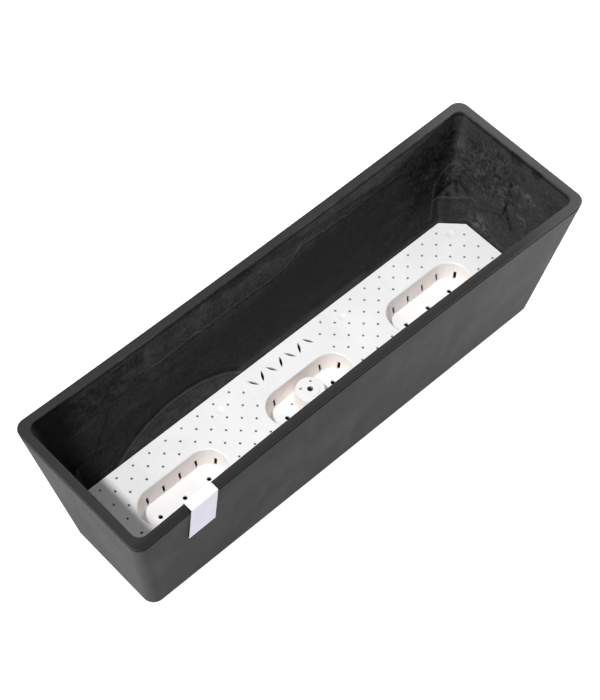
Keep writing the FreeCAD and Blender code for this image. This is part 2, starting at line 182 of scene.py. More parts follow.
def arc_points(center, radius, start, end, steps):
    """Points on an arc in plan, from one angle to another in degrees, both ends included."""
    points = []
    for i in range(steps + 1):
        a = math.radians(start + (end - start) * i / steps)
        points.append((center[0] + radius * math.cos(a), center[1] + radius * math.sin(a)))
    return points


def line_points(start, end, steps):
    """Points on a line in plan, without its end."""
    return [(start[0] + (end[0] - start[0]) * i / steps, start[1] + (end[1] - start[1]) * i / steps)
            for i in range(steps)]


def corner_zone(hx, hy, radius):
    """Points of the (+x, +y) corner of a rounded rectangle, in turn from the end to the side."""
    low = line_points((hx, hy - ZONE), (hx, hy - radius), ZONE_ENDS)
    arc = arc_points((hx - radius, hy - radius), radius, 0, 90, ZONE_ARC)
    high = line_points((hx - ZONE, hy), (hx - radius, hy), ZONE_ENDS)
    return low + arc + high[::-1]


def post_zone(hx, hy, reach):
    """The same points where a corner post cuts the corner off, with rounded creases."""
    slip = CREASE_R * math.tan(math.radians(22.5))
    a, b = (hx, reach - hx), (reach - hy, hy)
    step = slip / math.sqrt(2)
    points = line_points((hx, hy - ZONE), (hx, a[1] - slip), 2)
    points += arc_points((hx - CREASE_R, a[1] - slip), CREASE_R, 0, 45, 3)
    face_start, face_end = (a[0] - step, a[1] + step), (b[0] + step, b[1] - step)
    steps = 2 * ZONE_ENDS + ZONE_ARC - 10
    points += line_points(face_start, face_end, steps)[1:]
    points += arc_points((b[0] - slip, hy - CREASE_R), CREASE_R, 45, 90, 3)
    points += line_points((hx - ZONE, hy), (b[0] - slip, hy), 2)[::-1]
    return points


def ring(zone, z):
    """A closed ring of points at height z, from the points of its (+x, +y) corner."""
    corners = []
    for sx, sy in ((1, 1), (-1, 1), (-1, -1), (1, -1)):
        points = [(sx * x, sy * y) for x, y in zone]
        corners.append(points if sx == sy else points[::-1])
    plan = []
    for k, points in enumerate(corners):
        following = corners[(k + 1) % 4]
        steps = LONG_STEPS if k % 2 == 0 else SHORT_STEPS
        plan += points + line_points(points[-1], following[0], steps)[1:]
    return [Vector((x, y, z)) for x, y in plan]


def wall_ring(half, z, radius, inset=0.0):
    """Ring on a wall at height z, moved inwards from the wall by inset."""
    hx, hy = half(z)
    return ring(corner_zone(hx - inset, hy - inset, max(radius - inset, 0.5)), z)


def outside_rings():
    """Rings from the foot frame's inner edge, round the base and up to the rim's outer edge."""
    rings = []
    pocket = (BASE_HALF[0] - FOOT_FRAME, BASE_HALF[1] - FOOT_FRAME)
    rings.append(ring(corner_zone(pocket[0], pocket[1], INNER_R), RECESS_Z))
    rings.append(ring(corner_zone(pocket[0], pocket[1], INNER_R), 0.4))
    rings.append(ring(corner_zone(pocket[0] + 0.4, pocket[1] + 0.4, INNER_R), 0.0))
    for i in range(7):
        a = math.radians(90 * i / 6)
        z = BASE_EDGE_R * (1 - math.cos(a))
        rings.append(wall_ring(outer_half, z, OUTER_R, BASE_EDGE_R * (1 - math.sin(a))))
    groove_high = RIM_Z - GROOVE_TOP
    groove_low = groove_high - GROOVE_HEIGHT
    steps = 46
    for i in range(1, steps + 1):
        z = BASE_EDGE_R + (groove_low - 0.3 - BASE_EDGE_R) * i / steps
        rings.append(wall_ring(outer_half, z, OUTER_R))
    for z, inset in ((groove_low, 0.2), (groove_low + 0.2, GROOVE_DEPTH), (groove_high - 0.15, GROOVE_DEPTH),
                     (groove_high, 0.1)):
        rings.append(wall_ring(outer_half, z, OUTER_R, inset))
    for i in range(5):
        a = math.radians(90 * i / 4)
        z = RIM_Z - RIM_EDGE_R * (1 - math.sin(a))
        rings.append(wall_ring(outer_half, z, OUTER_R, RIM_EDGE_R * (1 - math.cos(a))))
    return rings


def rim_rings():
    """Rings across the rim's top and round its inner edge."""
    rings = []
    hx, hy = outer_half(RIM_Z)
    steps = 5
    for i in range(1, steps):
        t = i / steps
        inset = RIM_EDGE_R + (RIM_WALL - 2 * RIM_EDGE_R) * t
        radius = OUTER_R + (INNER_R - OUTER_R) * t
        rings.append(ring(corner_zone(hx - inset, hy - inset, radius), RIM_Z))
    for i in range(5):
        a = math.radians(90 * i / 4)
        z = RIM_Z - RIM_EDGE_R * (1 - math.cos(a))
        rings.append(wall_ring(inner_half, z, INNER_R + RIM_EDGE_R, -RIM_EDGE_R * (1 - math.sin(a))))
    return rings


def inside_rings():
    """Rings down the inner wall, over the corner posts' ledges and down to the floor."""
    rings = []
    ledge_low = PLATE_Z + POST_HEIGHT
    ledge_high = ledge_low + LEDGE_RISE
    high = RIM_Z - RIM_EDGE_R
    steps = 40
    for i in range(1, steps + 1):
        z = high + (ledge_high - high) * i / steps
        rings.append(wall_ring(inner_half, z, INNER_R))
    corner = rings[-1]

    def post_ring(z, beyond=0.0):
        hx, hy = inner_half(z)
        return ring(post_zone(hx, hy, post_reach(z) + beyond), z)

    edge = post_ring(ledge_low, POST_EDGE_R * math.sqrt(2))
    for i in range(1, 6):
        t = i / 6
        rings.append([c.lerp(e, t) for c, e in zip(corner, edge)])
    for i in range(5):
        a = math.radians(90 * i / 4)
        z = ledge_low - POST_EDGE_R * (1 - math.cos(a))
        rings.append(post_ring(z, POST_EDGE_R * math.sqrt(2) * (1 - math.sin(a))))
    top = ledge_low - POST_EDGE_R
    visible_steps, hidden_steps = 16, 8
    for i in range(1, visible_steps + 1):
        rings.append(post_ring(top + (PLATE_Z - top) * i / visible_steps))
    foot = FLOOR_Z + FLOOR_EDGE_R
    for i in range(1, hidden_steps + 1):
        rings.append(post_ring(PLATE_Z + (foot - PLATE_Z) * i / hidden_steps))
    hx, hy = inner_half(foot)
    for i in range(1, 6):
        a = math.radians(90 * i / 5)
        inset = FLOOR_EDGE_R * (1 - math.cos(a))
        z = foot - FLOOR_EDGE_R * math.sin(a)
        rings.append(ring(post_zone(hx - inset, hy - inset, post_reach(foot) - inset * math.sqrt(2)), z))
    return rings


# ---------------------------------------------------------------- relief of the casting

def fractal(point, scale, octaves=4):
    """Fractal noise of about -1 to 1; scale is the size of its largest features in mm."""
    return noise.fractal(Vector(point) / scale, 0.9, 2.1, octaves, noise_basis="PERLIN_ORIGINAL")


def smooth_step(low, high, value):
    t = min(max((value - low) / (high - low), 0.0), 1.0)
    return t * t * (3 - 2 * t)


def flow_relief(point, along, up, seed):
    """Height in mm of the marks that the pour left, from the place along a wall and above the plate."""
    warp = 9 * fractal((along, 3 * up, seed), 90)
    streak = fractal((along * 0.22 + seed, up + warp, seed), 13)
    ridge = 1 - abs(streak) * 3.2
    rough = fractal(point + Vector((seed, 0, 0)), 7)
    patch = smooth_step(-0.1, 0.35, fractal((along, up, seed + 40), 120))
    return RELIEF * (0.55 * max(ridge, -1.0) + patch * 0.8 * rough)


def relief(point):
    """Inward height of the inner surface's marks at a point of the inner wall."""
    x, y, z = point
    up = z - PLATE_Z
    fade = smooth_step(0, 8, RIM_Z - 1 - z)
    hx, hy = inner_half(z)
    if hx - abs(x) < hy - abs(y):
        height = flow_relief(point, y, up, 11.0 if x < 0 else 23.0)
    else:
        height = flow_relief(point, x, up, 37.0 if y < 0 else 5.0)
        if y > 0:
            height += rear_marks(x, up)
    return fade * min(height, RELIEF_AT_PLATE + RELIEF_GROWTH * max(up, 0.0))


def seam_course(x):
    """Height above the false floor of the rear wall's seam: wavy, and higher in its right part."""
    return SEAM_UP + SEAM_STEP * smooth_step(*SEAM_STEP_ENDS, x) + 3.5 * fractal((x, 9, 3), 30)


def rear_marks(x, up):
    """The rear wall's own marks: a wavy seam and, low at the left, an arc with a lip."""
    seam = 0.15 * math.exp(-((up - seam_course(x)) / 1.2) ** 2)
    seam *= smooth_step(SEAM_ENDS[0], SEAM_ENDS[0] + SEAM_FADE, x)
    seam *= 1 - smooth_step(SEAM_ENDS[1] - SEAM_FADE, SEAM_ENDS[1], x)
    beyond = math.hypot(x - ARC_CENTER[0], up - ARC_CENTER[1]) - ARC_R
    arc = 0.5 * (1 - smooth_step(-5, 1, beyond)) + 0.55 * math.exp(-((beyond + 1.2) / 1.6) ** 2)
    return seam + arc


def inward(point):
    """Horizontal direction from the nearest wall into the trough."""
    hx, hy = inner_half(point.z)
    dx, dy = hx - abs(point.x), hy - abs(point.y)
    weight_x = math.exp(-dx / 4)
    weight_y = math.exp(-dy / 4)
    return Vector((-math.copysign(weight_x, point.x), -math.copysign(weight_y, point.y), 0)).normalized()


# ---------------------------------------------------------------- meshes

def new_object(name, mesh):
    obj = bpy.data.objects.new(name, mesh)
    bpy.context.scene.collection.objects.link(obj)
    return obj


def skin(bm, ring_a, ring_b, material):
    """Quads between two rings of bmesh vertices."""
    n = len(ring_a)
    for i in range(n):
        j = (i + 1) % n
        face = bm.faces.new((ring_a[i], ring_a[j], ring_b[j], ring_b[i]))
        face.material_index = material
        face.smooth = True


def circle(radius, z, steps=48):
    angles = [2 * math.pi * i / steps for i in range(steps)]
    return [Vector((radius * math.cos(a), radius * math.sin(a), z)) for a in angles]


def fill_between(bm, outer, inner, material):
    """Flat faces between a ring and a round hole in it."""
    edges = []
    for loop in (outer, inner):
        for i, vertex in enumerate(loop):
            following = loop[(i + 1) % len(loop)]
            edges.append(bm.edges.get((vertex, following)) or bm.edges.new((vertex, following)))
    made = bmesh.ops.triangle_fill(bm, edges=edges, use_beauty=True, use_dissolve=False)
    for face in made["geom"]:
        if isinstance(face, bmesh.types.BMFace):
            face.material_index = material


def make_trough():
    outside, rim, inside = outside_rings(), rim_rings(), inside_rings()
    plans = outside + rim + inside
    first_inside = len(outside) + len(rim) - 4
    bm = bmesh.new()
    rings = []
    for k, plan in enumerate(plans):
        row = []
        for p in plan:
            p = p.copy()
            if k >= len(outside) + len(rim):
                p += inward(p) * relief(p)
            p.y += bow(p.x, p.y, p.z)
            row.append(bm.verts.new(p * MM))
        rings.append(row)
    for k in range(len(rings) - 1):
        skin(bm, rings[k], rings[k + 1], 1 if k >= first_inside else 0)
    low, high = [[bm.verts.new(p * MM) for p in circle(DRAIN_R, z)] for z in (RECESS_Z, FLOOR_Z)]
    skin(bm, high, low, 0)
    fill_between(bm, rings[0], low, 0)
    fill_between(bm, rings[-1], high, 1)
    bmesh.ops.recalc_face_normals(bm, faces=bm.faces)
    mesh = bpy.data.meshes.new("trough_shell")
    bm.to_mesh(mesh)
    bm.free()
    return new_object("trough_shell", mesh)


def label_path():
    """Middle line of the folded strip in the YZ plane: up the front, over the rim and down inside."""
    front_lean = math.atan2(RIM_HALF[1] - BASE_HALF[1], RIM_Z)
    inner_lean = math.atan2(inner_half(RIM_Z)[1] - inner_half(PLATE_Z)[1], RIM_Z - PLATE_Z)
    top = RIM_Z + LABEL_STAND_OFF
    front_y = -RIM_HALF[1] - LABEL_STAND_OFF / math.cos(front_lean)
    inner_y = -inner_half(RIM_Z)[1] + LABEL_STAND_OFF / math.cos(inner_lean)
    path = []
    steps = 24
    for i in range(steps):
        down = (LABEL_LEG - LABEL_FOLD_R) * (1 - i / steps) + LABEL_FOLD_R
        flare = LABEL_FLARE * down / LABEL_LEG
        path.append((front_y + down * math.sin(front_lean) - flare, top - down * math.cos(front_lean)))
    for i in range(7):
        a = math.radians(180 - 90 * i / 6)
        path.append((front_y + LABEL_FOLD_R * (1 + math.cos(a)), top - LABEL_FOLD_R * (1 - math.sin(a))))
    for i in range(1, 6):
        t = i / 6
        crown = LABEL_CROWN * math.sin(math.pi * t)
        path.append((front_y + LABEL_FOLD_R + (inner_y - front_y - 2 * LABEL_FOLD_R) * t, top + crown))
    for i in range(7):
        a = math.radians(90 - 90 * i / 6)
        path.append((inner_y - LABEL_FOLD_R * (1 - math.cos(a)), top - LABEL_FOLD_R * (1 - math.sin(a))))
    for i in range(1, steps + 1):
        down = LABEL_FOLD_R + (LABEL_LEG - LABEL_FOLD_R) * i / steps
        lift = LABEL_LIFT * smooth_step(15, LABEL_LEG, down)
        path.append((inner_y + down * math.sin(inner_lean) + lift, top - down * math.cos(inner_lean)))
    return path


def make_label():
    """A strip of card: two skins a thickness apart, closed at the edges."""
    path = [Vector((0, y, z)) for y, z in label_path()]
    columns = 17
    bm = bmesh.new()
    skins = []
    for side in (0.5, -0.5):
        rows = []
        for i, p in enumerate(path):
            along = (path[min(i + 1, len(path) - 1)] - path[max(i - 1, 0)]).normalized()
            normal = Vector((1, 0, 0)).cross(along) * -1
            row = []
            for c in range(columns):
                u = c / (columns - 1) - 0.5
                x = LABEL_X + u * LABEL_WIDTH
                q = p + normal * (side * LABEL_THICKNESS)
                row.append(bm.verts.new(Vector((x, q.y + bow(x, p.y, min(p.z, RIM_Z)), q.z)) * MM))
            rows.append(row)
        skins.append(rows)
    front, back = skins
    last_row, last_column = len(path) - 1, columns - 1
    for i in range(last_row):
        for c in range(last_column):
            bm.faces.new((front[i][c], front[i][c + 1], front[i + 1][c + 1], front[i + 1][c]))
            bm.faces.new((back[i][c + 1], back[i][c], back[i + 1][c], back[i + 1][c + 1]))
        for c in (0, last_column):
            bm.faces.new((front[i][c], front[i + 1][c], back[i + 1][c], back[i][c]))
    for c in range(last_column):
        for i in (0, last_row):
            bm.faces.new((front[i][c], front[i][c + 1], back[i][c + 1], back[i][c]))
    bmesh.ops.recalc_face_normals(bm, faces=bm.faces)
    for face in bm.faces:
        face.smooth = True
    mesh = bpy.data.meshes.new("folded_label")
    bm.to_mesh(mesh)
    bm.free()
    mesh.set_sharp_from_angle(angle=math.radians(50))
    return new_object("folded_label", mesh)


# ---------------------------------------------------------------- materials

class Tree:
    """A material's node tree, with short ways to add the nodes that are used here."""

    def __init__(self, name, roughness, **inputs):
        self.material = bpy.data.materials.new(name)
        self.material.use_nodes = True
        self.nodes = self.material.node_tree.nodes
        self.links = self.material.node_tree.links
        self.shader = self.nodes["Principled BSDF"]
        self.shader.inputs["Roughness"].default_value = roughness
        for key, value in inputs.items():
            self.shader.inputs[key.replace("_", " ")].default_value = value
        self.place = self.nodes.new("ShaderNodeTexCoord").outputs["Object"]
        axes = self.nodes.new("ShaderNodeSeparateXYZ")
        self.links.new(self.place, axes.inputs[0])
        self.x, self.y, z = [self.math("DIVIDE", axes.outputs[k], MM) for k in "XYZ"]
        self.up = self.math("SUBTRACT", z, PLATE_Z)

    def put(self, socket, value):
        """Links an output to a socket, or sets the socket's value."""
        if isinstance(value, bpy.types.NodeSocket):
            self.links.new(value, socket)
        else:
            socket.default_value = value

    def stretch(self, scale, turn=(0, 0, 0), vector=None):
        node = self.nodes.new("ShaderNodeMapping")
        self.put(node.inputs["Vector"], vector or self.place)
        node.inputs["Scale"].default_value = scale
        node.inputs["Rotation"].default_value = [math.radians(a) for a in turn]
        return node.outputs["Vector"]

    def noise(self, scale, detail=4.0, roughness=0.55, distortion=0.0, vector=None):
        node = self.nodes.new("ShaderNodeTexNoise")
        self.put(node.inputs["Vector"], vector or self.place)
        for key, value in (("Scale", scale), ("Detail", detail), ("Roughness", roughness),
                           ("Distortion", distortion)):
            node.inputs[key].default_value = value
        return node.outputs["Fac"]

    def cells(self, scale, vector=None):
        node = self.nodes.new("ShaderNodeTexVoronoi")
        self.put(node.inputs["Vector"], vector or self.place)
        node.inputs["Scale"].default_value = scale
        return node.outputs["Distance"]

    def math(self, operation, a, b=0.0, c=0.0):
        node = self.nodes.new("ShaderNodeMath")
        node.operation = operation
        for socket, value in zip(node.inputs, (a, b, c)):
            self.put(socket, value)
        return node.outputs["Value"]

    def span(self, value, low, high, to_low=0.0, to_high=1.0):
        """Maps low to high onto to_low to to_high, smoothly and clamped."""
        node = self.nodes.new("ShaderNodeMapRange")
        node.interpolation_type = "SMOOTHSTEP"
        for key, number in (("Value", value), ("From Min", low), ("From Max", high), ("To Min", to_low),
                            ("To Max", to_high)):
            self.put(node.inputs[key], number)
        return node.outputs["Result"]

    def total(self, *values):
        result = values[0]
        for value in values[1:]:
            result = self.math("ADD", result, value)
        return result

    def product(self, *values):
        result = values[0]
        for value in values[1:]:
            result = self.math("MULTIPLY", result, value)
        return result

    def wobbly(self, value, amount, scale, seed):
        """A coordinate in mm, moved by noise of about that amount each way."""
        shift = self.noise(scale, 3, 0.6, 0.0, self.stretch((1, 1, 1), (seed, 2 * seed, 0)))
        return self.math("MULTIPLY_ADD", shift, 4 * amount, self.math("SUBTRACT", value, 2 * amount))

    def window(self, value, low, high, soft):
        """1 between low and high, 0 outside, soft over that distance."""
        rise = self.span(value, low - soft, low + soft)
        fall = self.span(value, high - soft, high + soft, 1, 0)
        return self.product(rise, fall)

    def distance(self, u, v, center, half=(1.0, 1.0)):
        """Distance of (u, v) from a centre, in units of half along each axis."""
        parts = [self.math("DIVIDE", self.math("SUBTRACT", a, c), h) for a, c, h in zip((u, v), center, half)]
        return self.math("SQRT", self.total(*[self.product(a, a) for a in parts]))

    def spot(self, u, v, center, half, soft=0.35):
        """Mask of a soft ellipse."""
        return self.span(self.distance(u, v, center, half), 1 - soft, 1 + soft, 1.0, 0.0)

    def circle_line(self, u, v, center, radius, half):
        """Mask of a circle's line, of that half width."""
        off = self.math("SUBTRACT", self.distance(u, v, center), radius)
        return self.span(self.math("ABSOLUTE", off), 0.0, 2 * half, 1.0, 0.0)

    def stroke(self, u, v, start, end, half):
        """Mask of a straight line from start to end, of that half width."""
        length = math.dist(start, end)
        along_u, along_v = [(b - a) / length for a, b in zip(start, end)]
        from_u, from_v = self.math("SUBTRACT", u, start[0]), self.math("SUBTRACT", v, start[1])
        along = self.total(self.product(from_u, along_u), self.product(from_v, along_v))
        across = self.total(self.product(from_u, -along_v), self.product(from_v, along_u))
        past = self.math("ABSOLUTE", self.math("SUBTRACT", along, length / 2))
        past = self.math("MAXIMUM", self.math("SUBTRACT", past, length / 2), 0.0)
        gap = self.math("SQRT", self.total(self.product(across, across), self.product(past, past)))
        return self.span(gap, 0.0, 2 * half, 1.0, 0.0)

    def steepness(self):
        """1 on upright faces, 0 on level ones that look up."""
        facing = self.nodes.new("ShaderNodeNewGeometry").outputs["Normal"]
        split = self.nodes.new("ShaderNodeSeparateXYZ")
        self.links.new(facing, split.inputs[0])
        return self.span(split.outputs["Z"], 0.15, 0.97, 1.0, 0.0)

    def tinted(self, level, warmth=0.0):
        """A near-neutral colour from a level."""
        node = self.nodes.new("ShaderNodeCombineColor")
        for socket, share in zip(node.inputs, (1 + warmth, 1.0, 1 - warmth)):
            self.put(socket, self.product(level, share))
        return node.outputs["Color"]

    def ramp(self, value, stops):
        """Colour from a value, by stops of (position, (r, g, b))."""
        node = self.nodes.new("ShaderNodeValToRGB")
        self.put(node.inputs["Fac"], value)
        elements = node.color_ramp.elements
        while len(elements) < len(stops):
            elements.new(0.5)
        for element, (position, color) in zip(elements, stops):
            element.position = position
            element.color = (*color, 1)
        return node.outputs["Color"]

    def mix(self, factor, a, b):
        node = self.nodes.new("ShaderNodeMix")
        node.data_type = "RGBA"
        self.put(node.inputs["Factor"], factor)
        for key, value in (("A", a), ("B", b)):
            socket = [s for s in node.inputs if s.name == key and s.type == "RGBA"][0]
            self.put(socket, (*value, 1) if isinstance(value, tuple) else value)
        return [s for s in node.outputs if s.type == "RGBA"][0]

    def bump(self, height, strength, distance, normal=None):
        node = self.nodes.new("ShaderNodeBump")
        node.inputs["Strength"].default_value = strength
        node.inputs["Distance"].default_value = distance
        self.put(node.inputs["Height"], height)
        if normal is not None:
            self.links.new(normal, node.inputs["Normal"])
        return node.outputs["Normal"]

    def finish(self, color=None, roughness=None, normal=None):
        for key, value in (("Base Color", color), ("Roughness", roughness), ("Normal", normal)):
            if value is not None:
                self.put(self.shader.inputs[key], value)
        return self.material


def grey(level, warmth=0.0):
    """A near-neutral colour."""
    return (level * (1 + warmth), level, level * (1 - warmth))


def composite_outside():
    """Matte anthracite composite: faint clouds and vertical runs under a fine sandy grain, with painted shade
    in the groove and painted light on the level rims.
    """
    t = Tree("anthracite_outside", 0.6, IOR=1.22, Specular_IOR_Level=0.35)
    clouds = t.noise(14, 5, 0.6, 0.6)
    runs = t.noise(30, 4, 0.6, 0.8, t.stretch((1, 1, 0.3)))
    grain = t.noise(750, 3, 0.65)
    specks = t.span(t.noise(330, 3, 0.7), 0.62, 0.72)
    level = t.total(OUTSIDE_LEVEL * 0.72, t.product(clouds, OUTSIDE_LEVEL * 0.22),
                    t.product(runs, OUTSIDE_LEVEL * 0.16), t.product(grain, OUTSIDE_LEVEL * 0.18))
    level = t.product(level, t.total(1.0, t.product(specks, 0.18)))
    tone = t.total(t.product(clouds, 0.6), t.product(runs, 0.4))
    roughness = t.span(tone, 0.3, 0.7, 0.54, 0.68)
    normal = t.bump(grain, 0.22, 0.0004)
    normal = t.bump(t.span(t.cells(260), 0.05, 0.22), 0.1, 0.0003, normal)
    normal = t.bump(clouds, 0.2, 0.001, normal)
    # Painted shade: the groove under the rim's lip is darkened; its roughness is raised too.
    groove = t.window(t.up, GROOVE_UP[0] - 0.4, GROOVE_UP[1], 0.15)
    level = t.product(level, t.math("SUBTRACT", 1.0, t.product(groove, GROOVE_SHADE)))
    # Painted light: level faces that look up, the rims' tops, are paled towards the right end and a little
    # along the front.
    right_part = t.product(t.span(t.x, 150, 265), t.span(t.y, -90, 60, 0.75, 1.0))
    painted_rim_light = t.math("MAXIMUM", right_part, t.span(t.y, -84, -72, 0.0, 0.3))
    painted_rim_light = t.product(painted_rim_light, t.math("SUBTRACT", 1.0, t.steepness()))
    level = t.product(level, t.math("MULTIPLY_ADD", painted_rim_light, RIM_PAINTED_LIGHT, 1.0))
    roughness = t.math("MAXIMUM", roughness, groove)
    return t.finish(t.tinted(level, 0.004), roughness, normal)


def rear_wall_tones(t, rough):
    """Tone and height of the rear wall's own marks, above and below 0, with painted shade beside the arc's
    lip and under the seam, and painted bounce light from the false floor along the wall's foot.
    """
    x = t.wobbly(t.x, 2.5, 45, 10)
    up = t.wobbly(t.up, 1.6, 60, 20)
    wall = t.product(t.span(t.y, 50, 55), t.span(t.x, 256, 262, 1, 0))
    mottled_left = t.product(t.window(x, *MOTTLED_LEFT[0], 5), t.window(up, *MOTTLED_LEFT[1], 5))
    mottled_right = t.product(t.span(x, *MOTTLED_RIGHT[0]), t.window(up, *MOTTLED_RIGHT[1], 8))
    blotches = t.span(t.noise(55, 5, 0.65, 1.5), 0.42, 0.58)
    beyond = t.math("SUBTRACT", t.distance(t.x, t.up, ARC_CENTER), ARC_R)
    under_arc = t.span(beyond, -7, -1, 1, 0)
    lip = t.window(beyond, -3.2, -0.4, 1.0)
    shade = t.window(beyond, 0.8, 4.2, 1.4)
    ripples = t.product(t.window(beyond, 4, 18, 4), t.span(t.x, -100, -60, 1, 0),
                        t.math("SINE", t.product(beyond, 1.6)))
    step = t.product(t.span(t.x, *SEAM_STEP_ENDS), SEAM_STEP)
    seam_at = t.math("SUBTRACT", t.wobbly(t.wobbly(t.up, 3.4, 30, 30), 1.2, 110, 70), t.total(SEAM_UP, step))
    seam_run = t.window(t.x, SEAM_ENDS[0], SEAM_ENDS[1] + 40, 12)
    seam = t.product(seam_run, t.window(seam_at, -0.9, 0.7, 0.7))
    seam_shade = t.product(seam_run, t.window(seam_at, -3.4, -1.6, 0.9))
    rim_patch = t.spot(x, up, *RIM_PATCH)
    rim_streak = t.stroke(x, up, *RIM_STREAK, 3.0)
    crack = t.stroke(t.x, t.up, *REAR_CRACK, 0.9)
    # Painted bounce light from the false floor: a paler strip along the rear wall's foot.
    bounce_thick = t.product(t.window(x, *BOUNCE_LIGHT_THICK, 8), t.span(up, 4, 15, 1, 0))
    bounce_thin = t.product(t.window(x, *BOUNCE_LIGHT_THIN, 8), t.span(up, 2, 8, 1, 0))
    foot = t.total(bounce_thick, bounce_thin)
    post_curve = t.product(t.circle_line(t.x, t.up, *POST_CURVE, 1.5), t.span(t.up, 40, 44))
    post_line = t.stroke(t.x, t.up, *POST_LINE, 1.5)
    light = t.total(t.product(lip, 1.5), t.product(under_arc, t.total(0.45, t.product(blotches, 0.8))),
                    t.product(seam, 1.0), t.product(foot, 1.2),
                    t.product(post_curve, 1.1), t.product(post_line, 1.0), t.product(ripples, 0.14),
                    t.product(mottled_right, rough, 0.9),
                    t.product(t.window(x, *LEFT_PATCH_EDGE, 2), t.window(up, *MOTTLED_LEFT[1], 6), 0.3))
    dark = t.total(0.06, t.product(mottled_left, t.total(0.12, t.product(blotches, 0.45))),
                   t.product(mottled_right, 0.5),
                   t.product(shade, 0.42), t.product(seam_shade, 0.38), t.product(rim_patch, 0.5),
                   t.product(rim_streak, 0.34), t.product(crack, 0.5))
    tone = t.product(wall, t.math("SUBTRACT", light, dark))
    height = t.total(t.product(lip, 0.8), t.product(seam, 0.7), t.product(crack, -0.6),
                     t.product(ripples, 0.3), t.product(post_curve, 0.6))
    return tone, t.product(wall, height)


def right_wall_tones(t, rough):
    """The same for the wall at the right end, whose marks are placed by y, from front to rear. The whole wall
    is painted lighter, as painted light, and darker at its foot, as painted shade.
    """
    y = t.wobbly(t.y, 1.8, 60, 40)
    up = t.wobbly(t.up, 1.8, 60, 50)
    wall = t.product(t.span(t.x, 240, 246), t.span(t.y, 66, 72, 1, 0))
    corner = t.product(t.window(t.y, 60, 71, 4), t.span(t.up, 30, 44))
    corner_spots = t.product(corner, t.span(t.noise(60, 3, 0.6), 0.5, 0.68))
    rim_blots = t.total(*[t.spot(y, up, *blot) for blot in RIM_BLOTS])
    crack = t.total(*[t.stroke(y, up, *branch) for branch in BRANCHED_CRACK])
    scuff_area = t.total(*[t.spot(y, up, *area) for area in SCUFFED])
    scuffs = t.product(scuff_area, t.span(t.noise(150, 5, 0.75, 1.2), 0.47, 0.6))
    smooth_blot = t.spot(y, up, *SMOOTH_BLOT)
    middle = t.spot(y, up, *ROUGH_MIDDLE)
    foot_shade = t.span(t.up, 0.5, 5, 1, 0)
    light = t.total(t.product(corner, 0.5), t.product(corner_spots, 0.8), t.product(scuffs, 2.2),
                    t.product(smooth_blot, 0.12), t.product(middle, rough, 1.3))
    dark = t.total(t.product(rim_blots, 0.75), t.product(crack, 0.7), t.product(middle, 0.4),
                   t.product(foot_shade, 0.6))
    # Painted light: 0.42 raises the whole wall's tone, as the sun falls on it; foot_shade is painted shade at
    # its foot.
    tone = t.product(wall, t.math("SUBTRACT", t.total(0.42, light), dark))
    height = t.total(t.product(crack, -0.8), t.product(scuffs, 0.4))
    return tone, t.product(wall, height)


def post_tones(t):
    """Fan lines on the corner posts' ledges, brush marks on their faces, and a painted highlight along the
    ledges' edge.
    """
    side, end = t.math("ABSOLUTE", t.x), t.math("ABSOLUTE", t.y)
    post = t.product(t.span(side, 205, 212), t.span(t.total(side, end), 287, 289), t.span(t.up, 44, 47, 1, 0))
    ledge = t.product(post, t.span(t.up, 36.5, 38.5))
    from_corner = t.math("ARCTAN2", t.math("SUBTRACT", 82.0, end), t.math("SUBTRACT", 272.0, side))
    fan = t.math("SINE", t.product(from_corner, 26.0))
    brush = t.span(t.noise(160, 3, 0.6, 0.4, t.stretch((1, 1, 0.12))), 0.5, 0.7)
    face = t.product(post, t.span(t.up, 36.5, 38.5, 1, 0))
    foot = t.product(face, t.window(t.up, 5, 8, 1.5))
    # Painted highlight along the ledge's edge.
    edge = t.product(post, t.window(t.up, 36.2, 38.4, 0.5))
    tone = t.total(t.product(ledge, t.math("MULTIPLY_ADD", fan, 0.35, -0.34)), t.product(face, brush, 0.5),
                   t.product(edge, 0.9), t.product(foot, 0.2))
    return tone, t.product(ledge, fan, 0.3)


